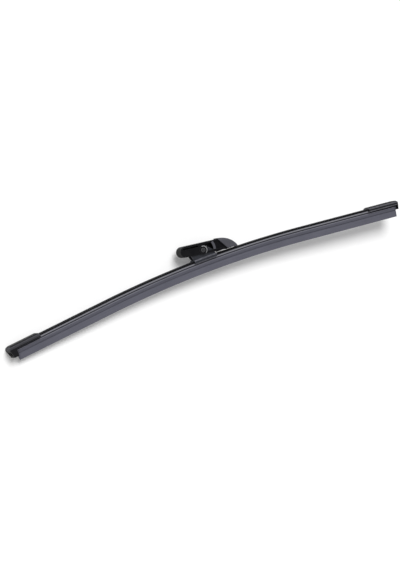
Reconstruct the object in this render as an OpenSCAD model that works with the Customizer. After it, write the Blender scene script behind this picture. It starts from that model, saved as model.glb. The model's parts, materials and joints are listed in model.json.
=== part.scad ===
// Flat rear wiper blade: two arched spring rails hold a rubber wiping strip,
// an end cap closes each tip, and a bracket in the middle carries the arm
// adapter on a cross pin. X runs along the blade, Y across it, Z away from
// the glass, and the origin is the middle of the pivot pin.

/* [Blade] */
// Length from tip to tip, along the rails
blade_len = 380; // [330:5:480]
// Length of the arched stretch in the middle
arch_len = 192; // [140:4:220]
// Angle that each half of the arch turns through
arch_half = 5.4; // [3:0.1:7]

/* [Spring rails] */
// Width over both rails
rails_w = 9; // [8.4:0.1:10]
// Width of one rail
rail_w = 3.6; // [3.2:0.1:3.8]
// Thickness of a rail
rail_t = 0.95; // [0.8:0.05:1.2]
// Clearance of a rail in its groove
rail_gap = 0.05; // [0.03:0.01:0.1]

/* [Wiping rubber] */
// Depth of the strip below the rails' upper face
rubber_drop = 12.4; // [11.4:0.1:14]
// Width of the head under the rails
head_w = 6; // [5.4:0.1:6.2]
// Depth of the head under the rails
head_t = 1.6; // [1.2:0.1:1.8]
// Width of the lip that holds the rails from above
head_lip_w = 3.4; // [2.8:0.1:4]
// Height of that lip above the rails
head_lip_t = 0.45; // [0.3:0.05:0.8]
// Thickness of the two waists that let the strip lean over
waist_w = 1.2; // [0.9:0.1:1.6]
// Height of the upper waist
waist_h = 1.1; // [0.8:0.1:1.4]
// Width of the shoulder bar
shoulder_w = 5.2; // [4.4:0.1:6]
// Height of the shoulder bar's upright edge
shoulder_h = 0.8; // [0.6:0.1:1.2]
// Width where the shoulder bar's taper ends
taper_w = 3; // [2.4:0.1:3.6]
// Height of that taper
taper_h = 2.1; // [1.6:0.1:2.4]
// Width of the wiping lip at its root
lip_root_w = 2; // [1.6:0.1:2.4]
// Width of the wiping lip at its edge
lip_edge_w = 0.7; // [0.5:0.1:1]

/* [End caps] */
// Length of the left cap, which closes the blade's end
cap_len_left = 29; // [24:1:40]
// Length of the right cap, which the rubber slides in through
cap_len_right = 40; // [30:1:44]
// Wall of a cap beside and above the rails
cap_wall = 1.15; // [0.9:0.05:1.4]
// Clearance between cap and rails
cap_gap = 0.08; // [0.05:0.01:0.15]
// Length of the left cap's nose, past the end of the rubber
nose_len = 6.4; // [5:0.1:7]
// Depth of that nose below the rails' upper face
cap_drop = 8.4; // [7:0.1:9]
// Thickness of the right cap's end wall, past the end of the rubber
end_wall = 1.2; // [0.9:0.1:1.6]
// Depth of that wall below the rails' upper face
end_drop = 6.2; // [5.6:0.1:7]
// Lean of the left cap's end towards the blade's middle
cap_lean = 15; // [8:1:18]

/* [Bracket] */
// Length of the bracket on the rails
bracket_len = 21.4; // [18:0.2:23]
// Height of the pivot axis above the rails
pivot_h = 7; // [6.6:0.1:8]
// Thickness of the bracket's floor over the rubber
floor_t = 0.6; // [0.5:0.1:0.8]
// Thickness of each cheek
cheek_t = 1.5; // [1.2:0.1:1.8]
// Width over both cheeks
cheeks_w = 6.6; // [6.2:0.1:6.8]
// Thickness of the hooks that grip the rails
claw_t = 0.9; // [0.7:0.05:1]

/* [Pivot pin] */
// Radius of the pin
pin_r = 1.9; // [1.6:0.05:2.1]
// Running clearance of the adapter on the pin
pin_gap = 0.05; // [0.03:0.01:0.09]
// Depth of each pin end below the face of its eye
pin_sunk = 0.5; // [0.3:0.1:0.8]

/* [Arm adapter] */
// Tilt of the adapter against the blade, nose end up
tilt = 7; // [6:0.1:7.4]
// Width over the adapter's side walls
adapter_w = 10; // [9.6:0.1:11]
// Thickness of a side wall
adapter_wall = 1.4; // [1.1:0.1:1.5]
// Height of the adapter's flat top above the pivot
top_h = 6.3; // [6:0.1:7.5]
// Depth of the side walls below the pivot
skirt_h = 3; // [2.6:0.1:3.1]
// Thickness of the top wall
top_t = 1.3; // [1:0.1:1.4]
// Distance from the pivot to the round nose
nose_x = 20.8; // [18:0.2:24]
// Radius of the round eye at the pin
eye_r = 3.5; // [3.2:0.1:3.8]
// How far the eye stands proud of the side wall
eye_proud = 0.5; // [0.3:0.1:0.8]

/* [Hood] */
// Distance from the pivot to the hood's front edge at the top
hood_x = 15.2; // [14:0.2:17]
// Distance from the pivot to the hood's tail
hood_tail_x = 32.4; // [31:0.2:33]
// How far the hood's front stands above the adapter's top
hood_step = 0.7; // [0.4:0.1:1]
// Wall of the hood
hood_wall = 1.3; // [1:0.1:1.6]
// How far the hood stands proud of the adapter's sides
hood_proud = 0.4; // [0.2:0.1:0.8]

/* [Hidden] */
$fn = 64;

// Rails and arch
seat_gap = 0.02;      // clearance of the pin in the bracket
arc_fn = 1440;        // steps of a full turn on the arch's wide sweeps
rail_z = -pivot_h;    // rails' upper face at the blade's middle
arc_r = round(10 * arch_len / (2 * arch_half * PI / 180)) / 10;
lap = 0.05;           // angle by which the two halves of a sweep share the middle
straight_len = (blade_len - arch_len) / 2;
rail_back = 2.2;      // rails end this far inside each tip
rail_low = -rail_t - rail_gap;

// Levels down the rubber's section, from the rails' upper face
head_low = -rail_t - head_t;
waist_low = head_low - waist_h;
shoulder_low = waist_low - shoulder_h;
taper_low = shoulder_low - taper_h;
notch_h = 0.7;        // lower waist, between the shoulder bar and the lip
lip_top = taper_low - notch_h;
edge_chamfer = 0.35;

// End cap
cap_half_w = rails_w / 2 + cap_gap + cap_wall;
cap_roof = head_lip_t + cap_gap;
cap_top = cap_roof + cap_wall;
cap_side = rail_t + cap_gap + cap_wall;
cap_facet = 1.7;      // slope along a cap's upper edges
cap_taper = 0.8;      // how much narrower a cap is at its foot, on each side
cap_ramp = 1.2;       // length of the ramp at a cap's inner end
end_gap = 0.3;        // between the end of the rails or rubber and the cap
nose_round = 3;
end_round = 2;        // the same rounding on the right cap
end_lean = 3;         // lean of the right cap's end wall
pocket_deep = 2.7;    // pockets in the end of the nose, from the tip
pocket_w = 3;
pocket_h = 3.2;
pocket_low = cap_drop - 1.7;
pocket_rib = 1.3;     // rib between the two pockets

// Bracket
bracket_turn = asin(bracket_len / 2 / arc_r);
floor_low = rail_gap;
floor_top = head_lip_t + rail_gap + floor_t;
floor_z = rail_z + floor_top;
claw_in = head_w / 2 + 0.2;
claw_out = rails_w / 2 + rail_gap + claw_t;
base_bevel = 0.7;     // along the top of the base
cheek_r = top_h - top_t - 0.6;
cheek_lean = 1.7;     // how much further the cheeks reach at their shoulders
shoulder_l = [-bracket_len / 2 - cheek_lean + 0.5, -1.3];
shoulder_r = [bracket_len / 2, -3.4];

// Adapter, in its own frame: u along it, w up, origin on the pin
nose_r = (top_h + skirt_h) / 2;
nose_at = [-nose_x + nose_r, (top_h - skirt_h) / 2];
side_y = adapter_w / 2;
cavity_y = side_y - adapter_wall;
cavity_end = 13.2;
roof_w = top_h - top_t;
slot_h = 1.5;
slot_rim = 0.2;       // rim of the slot below the top wall
eye_land = 0.9;       // flat left around the eye
arch_in = 9.4;        // inner and outer radius of the arched rib
arch_out = 11.8;
window_low = -1.5;
rib_w = 1.2;          // rib that runs down the middle of the cavity
rib_clear = 5;        // stretch on each side of the pin where the rib is cut away
rib_gap = 0.8;        // between the rib and the pin
recess = 0.9;         // depth of the side recess behind the arched rib

// Hood
stop_gap = 0.3;       // hood's tail to the blade, where its tilt ends
tail_x = hood_tail_x * cos(tilt);
tail_z = rail_z - arc_r + sqrt(arc_r * arc_r - tail_x * tail_x) + head_lip_t + stop_gap;
hood_low = (tail_z + hood_tail_x * sin(tilt)) / cos(tilt);
hood_top = top_h + hood_step;
hood_lean = 7.4;      // the front edge runs back this far down to the hood's foot
hood_y = side_y + hood_proud;
hood_tail_y = 3.9;
hood_round = 2;
hood_gap = 0.15;
core_reach = 11;      // block that carries the hood, from the hood's front edge
core_corner = 0.3 * hood_round; // the block's corner stays inside the hood's rounding
hood_bend = 0.62;     // 0.5 would make the hood's back an ellipse

// Outline of a section that is the same on both sides, from its +Y half
module both_sides(half) {
    last = len(half) - 1;
    polygon(concat(half, [for (i = [last:-1:0]) [-half[i][0], half[i][1]]]));
}

// Repeats what is drawn for the +X half on the other half
module both_ends() {
    children();
    mirror([1, 0, 0]) children();
}

// Sweeps a section along the arch between two angles from the middle. The
// section's x is Y, and its y is the height over the rails' upper face.
module arc_stretch(from, to) {
    translate([0, 0, rail_z - arc_r])
        rotate([90, 0, 0])
            rotate([0, 0, 90 - to])
                rotate_extrude(angle = to - from, $fn = arc_fn)
                    translate([arc_r, 0])
                        rotate(-90)
                            children();
}

// Frame at the right end of the arch: X outwards along the rails
module arch_end() {
    translate([0, 0, rail_z - arc_r])
        rotate([0, arch_half, 0])
            translate([0, 0, arc_r])
                children();
}

// Turns an extruded section so that it runs along X
module along_x(length) {
    rotate([90, 0, 90])
        linear_extrude(length)
            children();
}

// Sweeps a section along the whole blade. It ends short of the left and the
// right tip by the two given lengths.
module along_blade(back_left, back_right) {
    both_ends() arc_stretch(-lap, arch_half) children();
    arch_end() along_x(straight_len - back_right) children();
    mirror([1, 0, 0]) arch_end() along_x(straight_len - back_left) children();
}

module rubber_section() {
    web = rails_w / 2 - rail_w - rail_gap;
    both_sides([
        [head_lip_w / 2 - edge_chamfer / 2, head_lip_t],
        [head_lip_w / 2, head_lip_t / 2],
        [head_lip_w / 2, rail_gap],
        [web, rail_gap],
        [web, rail_low],
        [head_w / 2, rail_low],
        [head_w / 2, head_low + edge_chamfer],
        [head_w / 2 - edge_chamfer, head_low],
        [waist_w / 2, head_low],
        [waist_w / 2, waist_low],
        [shoulder_w / 2 - edge_chamfer / 2, waist_low],
        [shoulder_w / 2, waist_low - edge_chamfer / 2],
        [shoulder_w / 2, shoulder_low],
        [taper_w / 2, taper_low],
        [waist_w / 2, taper_low],
        [waist_w / 2, lip_top],
        [lip_root_w / 2, lip_top],
        [lip_root_w / 2, lip_top - edge_chamfer],
        [lip_edge_w / 2, -rubber_drop + lip_edge_w],
        [lip_edge_w / 2, -rubber_drop]
    ]);
}

module wiping_rubber() {
    color("dimgray")
        along_blade(nose_len, end_wall) rubber_section();
}

module spring_rail(side) {
    color("black")
        along_blade(rail_back, rail_back)
            translate([side > 0 ? rails_w / 2 - rail_w : -rails_w / 2, -rail_t])
                square([rail_w, rail_t]);
}

// Side view of a cap: x from the tip inwards is negative
module cap_side_view(length, over, drop, lean, round_r) {
    back = tan(lean) * (drop + cap_top - round_r);
    steps = 12;
    polygon(concat(
        [
            [-length, -cap_side],
            [-length, cap_top / 2],
            [-length + cap_ramp, cap_top]
        ],
        [for (i = [0:steps]) [
            -round_r + round_r * sin(90 * i / steps),
            cap_top - round_r + round_r * cos(90 * i / steps)
        ]],
        [
            [-back, -drop],
            [-over + end_gap, -drop],
            [-over + end_gap, -cap_side]
        ]
    ));
}

module cap_section(drop) {
    both_sides([
        [cap_half_w - cap_facet, cap_top],
        [cap_half_w, cap_top - cap_facet * 0.75],
        [cap_half_w, -cap_side],
        [cap_half_w - cap_taper, -drop]
    ]);
}

// Cap at the right tip. Its rubber ends "over" short of the tip.
module end_cap(length, over, drop, lean, round_r, pockets) {
    far = length + 1;
    color("dimgray")
        arch_end()
            translate([straight_len, 0, 0])
                difference() {
                    intersection() {
                        rotate([90, 0, 0])
                            linear_extrude(2 * cap_half_w, center = true)
                                cap_side_view(length, over, drop, lean, round_r);
                        translate([-length, 0, 0])
                            along_x(length) cap_section(drop);
                    }
                    // channel of the rails and of the rubber's upper lip
                    translate([-far, 0, 0])
                        along_x(far - rail_back + end_gap)
                            translate([-rails_w / 2 - cap_gap, -rail_t - cap_gap])
                                square([rails_w + 2 * cap_gap, rail_t + 2 * cap_gap]);
                    translate([-far, 0, 0])
                        along_x(far - min(over, rail_back) + end_gap)
                            translate([-head_lip_w / 2 - cap_gap, 0])
                                square([head_lip_w + 2 * cap_gap, cap_roof]);
                    // slot for the rubber's head, open below
                    translate([-far, 0, 0])
                        along_x(far - over + end_gap)
                            translate([-head_w / 2 - cap_gap, -drop - 1])
                                square([head_w + 2 * cap_gap, drop + 1]);
                    // a long nose is cored out from its end in two blind pockets
                    if (pockets)
                        for (side = [-1, 1])
                            translate([-pocket_deep, side * (pocket_w + pocket_rib) / 2 - pocket_w / 2, -pocket_low])
                                cube([pocket_deep + 1, pocket_w, pocket_h]);
                }
}

// The bracket's base: a floor over the rails with a hook along each side
module base_section() {
    hook_low = rail_low - claw_t;
    both_sides([
        [claw_out - base_bevel, floor_top],
        [claw_out, floor_top - base_bevel],
        [claw_out, hook_low + edge_chamfer],
        [claw_out - edge_chamfer, hook_low],
        [claw_in, hook_low],
        [claw_in, rail_low],
        [rails_w / 2 + rail_gap, rail_low],
        [rails_w / 2 + rail_gap, floor_low],
        [head_lip_w / 2 + rail_gap, floor_low],
        [head_lip_w / 2 + rail_gap, head_lip_t + rail_gap]
    ]);
}

module cheek_view() {
    foot = bracket_len / 2 - 0.5;
    union() {
        polygon([
            [-foot, floor_z - floor_t / 2],
            shoulder_l,
            [-cheek_r * 0.8, cheek_r * 0.6],
            [cheek_r * 0.8, cheek_r * 0.6],
            shoulder_r,
            [foot, floor_z - floor_t / 2]
        ]);
        circle(cheek_r);
    }
}

module rail_bracket() {
    color("dimgray")
        difference() {
            union() {
                both_ends() arc_stretch(-lap, bracket_turn) base_section();
                for (side = [0, 1])
                    mirror([0, side, 0])
                        translate([0, cheeks_w / 2 - cheek_t, 0])
                            rotate([90, 0, 0])
                                translate([0, 0, -cheek_t])
                                    linear_extrude(cheek_t)
                                        cheek_view();
            }
            rotate([90, 0, 0])
                cylinder(r = pin_r + seat_gap, h = cheeks_w + 2, center = true);
        }
}

module pivot_pin() {
    color("silver")
        rotate([90, 0, 0])
            cylinder(r = pin_r, h = 2 * (side_y + eye_proud - pin_sunk), center = true);
}

// Puts a side view, drawn as (u, w), to both sides of the adapter's middle
module across(width) {
    rotate([90, 0, 0])
        linear_extrude(width, center = true)
            children();
}

// Everything behind the front edge of the hood, which slants back below a
// square step at the adapter's top
module hood_side(shift) {
    polygon([
        [hood_x + shift, top_h],
        [hood_x + shift + hood_lean, hood_low],
        [hood_x + shift + hood_lean, hood_low - 5],
        [hood_tail_x + 5, hood_low - 5],
        [hood_tail_x + 5, hood_top + 5],
        [hood_x + shift, hood_top + 5]
    ]);
}

module adapter_view() {
    difference() {
        union() {
            translate(nose_at) circle(nose_r);
            translate([nose_at[0], -skirt_h])
                square([hood_x + hood_lean - nose_at[0], top_h + skirt_h]);
        }
        hood_side(-hood_gap);
    }
}

module cavity_view() {
    union() {
        translate(nose_at) circle(nose_r - top_t);
        translate([nose_at[0], -skirt_h - 1])
            square([cavity_end - nose_at[0], roof_w + skirt_h + 1]);
    }
}

// Middle rib under the top wall, clear of the pin
module rib_view() {
    difference() {
        union() {
            translate(nose_at) circle(nose_r - top_t / 2);
            translate([nose_at[0], -skirt_h])
                square([cavity_end + 1 - nose_at[0], roof_w + top_t / 2 + skirt_h]);
        }
        translate([-nose_x, -nose_x]) square([nose_x - rib_clear, nose_x]);
        translate([-rib_clear - 1, -nose_x]) square([2 * rib_clear + 2, nose_x + pin_r + rib_gap]);
        translate([rib_clear, -nose_x]) square([nose_x, nose_x + window_low]);
    }
}

// Long slot under the top wall. It follows the round nose at its left end.
module slot_view() {
    r = slot_h / 2;
    high = roof_w - slot_rim;
    to = -eye_r - r;
    union() {
        intersection() {
            union() {
                translate(nose_at) circle(nose_r - top_t - slot_rim);
                translate([nose_at[0], 0]) square([to - nose_at[0], top_h]);
            }
            translate([-nose_x, high - slot_h]) square([nose_x + to, slot_h]);
        }
        translate([to, high - r]) circle(r);
    }
}

// Window between the eye and the arched rib
module window_view() {
    difference() {
        intersection() {
            circle(arch_in);
            translate([0, window_low]) square([arch_out, roof_w - window_low]);
        }
        circle(eye_r + eye_land);
    }
}

module recess_view() {
    difference() {
        translate([arch_in - 2, window_low])
            square([hood_x + hood_lean, roof_w - window_low]);
        circle(arch_out);
        hood_side(-hood_gap - 0.8);
    }
}

// Block under the hood. Its back follows the hood's inner face.
module core_view() {
    from = cavity_end + 1;
    to = hood_x + core_reach;
    steps = 8;
    floor_w = hood_low + 1;
    polygon(concat(
        [[from, floor_w], [from, roof_w]],
        [for (i = [0:steps]) let (u = hood_x + (to - hood_x) * i / steps)
            [u, min(roof_w, hood_back(u, hood_wall + core_corner + hood_gap))]],
        [[to, floor_w]]
    ));
}

module arm_adapter() {
    core_y = hood_half(hood_x + core_reach, hood_wall + core_corner + hood_gap);
    color("black")
        rotate([0, tilt, 0])
            difference() {
                union() {
                    difference() {
                        across(2 * side_y) adapter_view();
                        across(2 * cavity_y) cavity_view();
                        across(2 * side_y + 2) slot_view();
                        across(2 * side_y + 2) window_view();
                        for (side = [-1, 1])
                            translate([0, side * (side_y + 1 - recess), 0])
                                across(2) recess_view();
                    }
                    across(2 * core_y) core_view();
                    across(rib_w) rib_view();
                    for (side = [-1, 1])
                        rotate([90, 0, 0])
                            translate([0, 0, side * (cavity_y + side_y + eye_proud) / 2])
                                cylinder(r = eye_r, h = side_y + eye_proud - cavity_y, center = true);
                }
                rotate([90, 0, 0])
                    cylinder(r = pin_r + pin_gap, h = 2 * side_y + 4, center = true);
            }
}

// Height of the hood's back at u, inside by "inset"
function hood_back(u, inset) =
    let (share = (u - hood_x) / (hood_tail_x - hood_x))
    hood_low + (hood_top - hood_low) * pow(max(0, 1 - share * share), hood_bend) - inset;

// Half width of the hood at u, inside by "inset"
function hood_half(u, inset) =
    let (share = (u - hood_x) / (hood_tail_x - hood_x))
    hood_tail_y + (hood_y - hood_tail_y) * sqrt(max(0, 1 - share * share)) - inset;

// Convex shell form of the hood, lofted over thin slices along u
module hood_form(inset) {
    last = 12;
    slice = 0.02;
    from = hood_x - 1;
    low = hood_low - (inset > 0 ? 3 : 0);
    hull()
        for (i = [0:last]) {
            u = from + (hood_tail_x - inset - from - slice) * sin(90 * i / last);
            top = hood_back(u, inset);
            half = hood_half(u, inset);
            r = min(hood_round, (top - low) / 2, half);
            translate([u, 0, 0])
                along_x(slice)
                    union() {
                        translate([-half, low])
                            square([2 * half, max(0.05, top - low - r)]);
                        for (side = [-1, 1])
                            translate([side * (half - r), top - r])
                                circle(r, $fn = 32);
                    }
        }
}

module adapter_hood() {
    color("dimgray")
        rotate([0, tilt, 0])
            intersection() {
                difference() {
                    hood_form(0);
                    hood_form(hood_wall);
                }
                across(4 * hood_y) hood_side(0);
            }
}

wiping_rubber();
spring_rail(-1);  // spring_rail_front
spring_rail(1);  // spring_rail_rear
mirror([1, 0, 0]) end_cap(cap_len_left, nose_len, cap_drop, cap_lean, nose_round, true);  // end_cap_left
end_cap(cap_len_right, end_wall, end_drop, end_lean, end_round, false);  // end_cap_right
rail_bracket();
pivot_pin();
arm_adapter();
adapter_hood();
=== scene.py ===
# %% [markdown]
# This lesson dresses a flat rear wiper blade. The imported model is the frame:
# its nodes say where every piece is and how large, and this file gives each
# piece its finished surface. The moulded pieces are merged copies of their
# nodes with rounded edges. The rubber, the rails and the hood are worked out
# again as smooth surfaces from the same few dimensions.

# %% Load the frame
import json
import math

import bmesh
import bpy
import numpy as np
from mathutils import Matrix, Vector


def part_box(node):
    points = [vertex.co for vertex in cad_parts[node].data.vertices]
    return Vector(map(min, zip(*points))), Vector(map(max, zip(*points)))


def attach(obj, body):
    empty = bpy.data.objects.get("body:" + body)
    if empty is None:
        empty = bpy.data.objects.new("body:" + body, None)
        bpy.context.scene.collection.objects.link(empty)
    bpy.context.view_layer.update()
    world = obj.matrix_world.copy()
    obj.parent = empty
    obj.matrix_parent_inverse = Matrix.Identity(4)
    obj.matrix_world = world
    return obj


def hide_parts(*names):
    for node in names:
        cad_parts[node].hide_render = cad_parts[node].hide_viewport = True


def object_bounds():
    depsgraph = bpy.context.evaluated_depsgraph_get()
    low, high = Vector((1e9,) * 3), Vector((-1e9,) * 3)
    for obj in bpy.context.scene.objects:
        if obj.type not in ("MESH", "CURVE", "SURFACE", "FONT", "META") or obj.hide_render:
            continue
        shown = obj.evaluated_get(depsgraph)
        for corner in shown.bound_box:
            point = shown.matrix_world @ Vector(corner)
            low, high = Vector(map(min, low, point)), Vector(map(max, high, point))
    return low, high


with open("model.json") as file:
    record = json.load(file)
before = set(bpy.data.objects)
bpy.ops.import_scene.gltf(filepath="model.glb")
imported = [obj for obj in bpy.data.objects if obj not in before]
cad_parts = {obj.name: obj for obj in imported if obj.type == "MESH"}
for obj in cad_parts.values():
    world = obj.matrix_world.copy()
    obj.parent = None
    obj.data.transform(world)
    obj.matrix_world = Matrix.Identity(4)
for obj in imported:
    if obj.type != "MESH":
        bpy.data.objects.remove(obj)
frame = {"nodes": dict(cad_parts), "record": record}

MM = 0.001
cad_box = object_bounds()
bodies = {body: sorted(names) for body, names in frame["record"]["behaviour"]["bodies"].items()}
body_of = {name: body for body, names in bodies.items() for name in names}
print("bodies:", bodies)
print("CAD box in mm:", [[round(c / MM, 1) for c in corner] for corner in cad_box])

# %% [markdown]
# The photograph is a long-lens shot of 400 by 570 pixels. Four numbers place
# such a camera: the azimuth and elevation that it looks from, the roll of the
# picture, and the distance. They were found by laying the blade's edges over
# the picture. Blender's sensor width is the long side of the picture, so the
# focal length in pixels is lens / 36 * 570. The camera has no shift: it is
# aimed at a point beside the pin, so that the pin falls on its own pixel.

# %% Camera
PICTURE = np.array([400, 570])
LENS = 135.0
SENSOR = 36.0
AZIMUTH, ELEVATION, ROLL = np.radians([22.67, 5.13, -18.39])
DISTANCE = 1805 * MM
PIN_PIXEL = np.array([200.94, 250.23])
NEAREST, FURTHEST = 0.05, 20


def camera_axes():
    """Picture right, picture up and the direction from the pin to the camera, from the three angles."""
    back = np.array([-math.sin(AZIMUTH) * math.cos(ELEVATION),
                     -math.cos(AZIMUTH) * math.cos(ELEVATION),
                     math.sin(ELEVATION)])
    level = np.cross(-back, [0, 0, 1])
    level /= np.linalg.norm(level)
    over = np.cross(level, -back)
    right = level * math.cos(ROLL) + over * math.sin(ROLL)
    up = -level * math.sin(ROLL) + over * math.cos(ROLL)
    return right, up, back


def aimed(eye, target, up):
    """Matrix of a camera or lamp at eye that looks at target, with up at the picture's top."""
    z = np.asarray(eye, float) - np.asarray(target, float)
    z /= np.linalg.norm(z)
    x = np.cross(up, z)
    x /= np.linalg.norm(x)
    y = np.cross(z, x)
    turned = np.eye(4)
    turned[:3, :3] = np.stack([x, y, z], axis=1)
    turned[:3, 3] = eye
    return Matrix(turned.tolist())


def make_camera():
    """The camera, aimed so that the pin falls on PIN_PIXEL with no shift."""
    right, up, back = camera_axes()
    metres_per_pixel = DISTANCE / (LENS / SENSOR * PICTURE[1])
    off = (PICTURE / 2 - PIN_PIXEL) * metres_per_pixel
    target = right * off[0] - up * off[1]
    data = bpy.data.cameras.new("photo_camera")
    data.lens = LENS
    data.sensor_width = SENSOR
    data.clip_start = NEAREST
    data.clip_end = FURTHEST
    camera = bpy.data.objects.new("photo_camera", data)
    bpy.context.scene.collection.objects.link(camera)
    camera.matrix_world = aimed(back * DISTANCE, target, up)
    bpy.context.scene.camera = camera
    return camera


camera = make_camera()
print("camera at", [round(c, 3) for c in camera.location])

# %% [markdown]
# The blade lies on its side on a white surface, so the surface is a plane just
# behind the blade's far side. It passes half a millimetre behind the left cap
# and further behind the right one, so the soft shadow widens there as it does
# in the photograph. The plane is white where the camera sees it lit, and from
# behind it is clear, so that the blade can be looked at from every side.

# %% Shader helpers
def shader_tree(data):
    """Empties a material's or world's node tree and returns it."""
    data.use_nodes = True
    data.node_tree.nodes.clear()
    return data.node_tree


def node(tree, kind, **settings):
    """Adds a node. A setting named after an input socket sets it, and any other sets the node."""
    made = tree.nodes.new(kind)
    for name, value in settings.items():
        label = name.replace("_", " ")
        sockets = [s for s in made.inputs if s.name.lower() == label.lower()]
        if hasattr(made, name):
            setattr(made, name, value)
        elif sockets and isinstance(value, bpy.types.NodeSocket):
            tree.links.new(value, sockets[0])
        elif sockets:
            sockets[0].default_value = value
        else:
            raise ValueError(f"{kind} has no {name}")
    return made


# %% Floor
FLOOR_SIZE = 6.0
FLOOR_AT_LEFT = 6.2 * MM
FLOOR_AT_RIGHT = 22.3 * MM
PAPER = 0.92
PAPER_GLOW = 0.09


def white_view(tree):
    """1 for camera rays and for rays that a shiny or clear surface sends on, else 0."""
    path = node(tree, "ShaderNodeLightPath")
    mirrored = node(tree, "ShaderNodeMath", operation="MAXIMUM")
    tree.links.new(path.outputs["Is Glossy Ray"], mirrored.inputs[0])
    tree.links.new(path.outputs["Is Transmission Ray"], mirrored.inputs[1])
    seen = node(tree, "ShaderNodeMath", operation="MAXIMUM")
    tree.links.new(path.outputs["Is Camera Ray"], seen.inputs[0])
    tree.links.new(mirrored.outputs[0], seen.inputs[1])
    return seen.outputs[0]


def floor_material():
    """White diffuse paper. To the camera it adds a little light of its own, and its back is clear."""
    material = bpy.data.materials.new("paper_floor")
    tree = shader_tree(material)
    paper = node(tree, "ShaderNodeBsdfDiffuse", Color=(PAPER, PAPER, PAPER, 1))
    glow = node(tree, "ShaderNodeEmission", Color=(1, 1, 1, 1), Strength=PAPER_GLOW)
    both = node(tree, "ShaderNodeAddShader")
    tree.links.new(paper.outputs[0], both.inputs[0])
    tree.links.new(glow.outputs[0], both.inputs[1])
    front = node(tree, "ShaderNodeMixShader", Fac=white_view(tree))
    tree.links.new(paper.outputs[0], front.inputs[1])
    tree.links.new(both.outputs[0], front.inputs[2])
    side = node(tree, "ShaderNodeNewGeometry")
    clear = node(tree, "ShaderNodeBsdfTransparent")
    mixed = node(tree, "ShaderNodeMixShader", Fac=side.outputs["Backfacing"])
    tree.links.new(front.outputs[0], mixed.inputs[1])
    tree.links.new(clear.outputs[0], mixed.inputs[2])
    output = node(tree, "ShaderNodeOutputMaterial")
    tree.links.new(mixed.outputs[0], output.inputs["Surface"])
    return material


def make_floor():
    """A large square that faces the blade's near side, through one line at each end of the blade."""
    low, high = cad_box
    lean = (FLOOR_AT_RIGHT - FLOOR_AT_LEFT) / (high.x - low.x)
    half = FLOOR_SIZE / 2
    corners = [(x, FLOOR_AT_LEFT + lean * (x - low.x), z) for x, z in
               [(-half, -half), (half, -half), (half, half), (-half, half)]]
    mesh = bpy.data.meshes.new("paper_floor")
    mesh.from_pydata(corners, [], [(0, 1, 2, 3)])
    floor = bpy.data.objects.new("paper_floor", mesh)
    bpy.context.scene.collection.objects.link(floor)
    mesh.materials.append(floor_material())


make_floor()
print("floor at the pin:", round((FLOOR_AT_LEFT + FLOOR_AT_RIGHT) / 2 / MM, 1), "mm behind it")

# %% [markdown]
# The photograph's light is broad and comes mostly from the camera's side and a
# little from above, since the blade's near face is evenly lit and its shadow
# falls a short way down the picture. A sun lamp with a wide angle gives that
# at one strength all along the blade. An even pale world fills the rest, and
# to the camera it is plain white.

# %% Lights
SUN_TOWARDS = (0.12, -0.85, 0.48)
SUN_POWER = 2.45
SUN_ANGLE = math.radians(32)
FILL = 0.42


def make_world():
    """Even light of one strength, and white to the camera and in reflections."""
    world = bpy.data.worlds.new("pale_room")
    bpy.context.scene.world = world
    tree = shader_tree(world)
    fill = node(tree, "ShaderNodeBackground", Color=(1, 1, 1, 1), Strength=FILL)
    white = node(tree, "ShaderNodeBackground", Color=(1, 1, 1, 1), Strength=1.0)
    mixed = node(tree, "ShaderNodeMixShader")
    tree.links.new(white_view(tree), mixed.inputs[0])
    tree.links.new(fill.outputs[0], mixed.inputs[1])
    tree.links.new(white.outputs[0], mixed.inputs[2])
    output = node(tree, "ShaderNodeOutputWorld")
    tree.links.new(mixed.outputs[0], output.inputs["Surface"])


def make_sun(towards, power, angle):
    """A sun lamp that shines from the direction given."""
    data = bpy.data.lights.new("broad_window", "SUN")
    data.energy = power
    data.angle = angle
    sun = bpy.data.objects.new("broad_window", data)
    bpy.context.scene.collection.objects.link(sun)
    sun.matrix_world = aimed(towards, (0, 0, 0), (0, 0, 1))


make_world()
make_sun(SUN_TOWARDS, SUN_POWER, SUN_ANGLE)
bpy.context.scene.view_settings.view_transform = "Standard"

# %% [markdown]
# A node group is a small node tree with sockets of its own, so that several
# materials can share one recipe. Three helpers keep the code of the groups
# short: one makes a group with named sockets, one maps a span of values to
# another, and one mixes two colours.

# %% Helpers for node groups
def new_group(name, inputs, outputs):
    """A shader node group with named sockets. Returns the group, its input node and its output node."""
    group = bpy.data.node_groups.new(name, "ShaderNodeTree")
    for label, kind, value in inputs:
        socket = group.interface.new_socket(label, in_out="INPUT", socket_type=kind)
        if value is not None:
            socket.default_value = value
    for label, kind in outputs:
        group.interface.new_socket(label, in_out="OUTPUT", socket_type=kind)
    return group, group.nodes.new("NodeGroupInput"), group.nodes.new("NodeGroupOutput")


def ranged(tree, value, span, to):
    """Maps a value from one span to another and holds it inside."""
    made = node(tree, "ShaderNodeMapRange")
    tree.links.new(value, made.inputs["Value"])
    for label, number in zip(("From Min", "From Max", "To Min", "To Max"), (*span, *to)):
        made.inputs[label].default_value = number
    return made.outputs["Result"]


def mixed_colour(tree, share, first, second):
    """Mixes two colours, each a socket or a plain colour, by a share between 0 and 1."""
    made = node(tree, "ShaderNodeMix", data_type="RGBA")
    sockets = [s for s in made.inputs if s.type == "RGBA"]
    tree.links.new(share, made.inputs["Factor"])
    for socket, colour in zip(sockets, (first, second)):
        if isinstance(colour, bpy.types.NodeSocket):
            tree.links.new(colour, socket)
        else:
            socket.default_value = (*colour, 1)
    return [s for s in made.outputs if s.type == "RGBA"][0]


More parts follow.
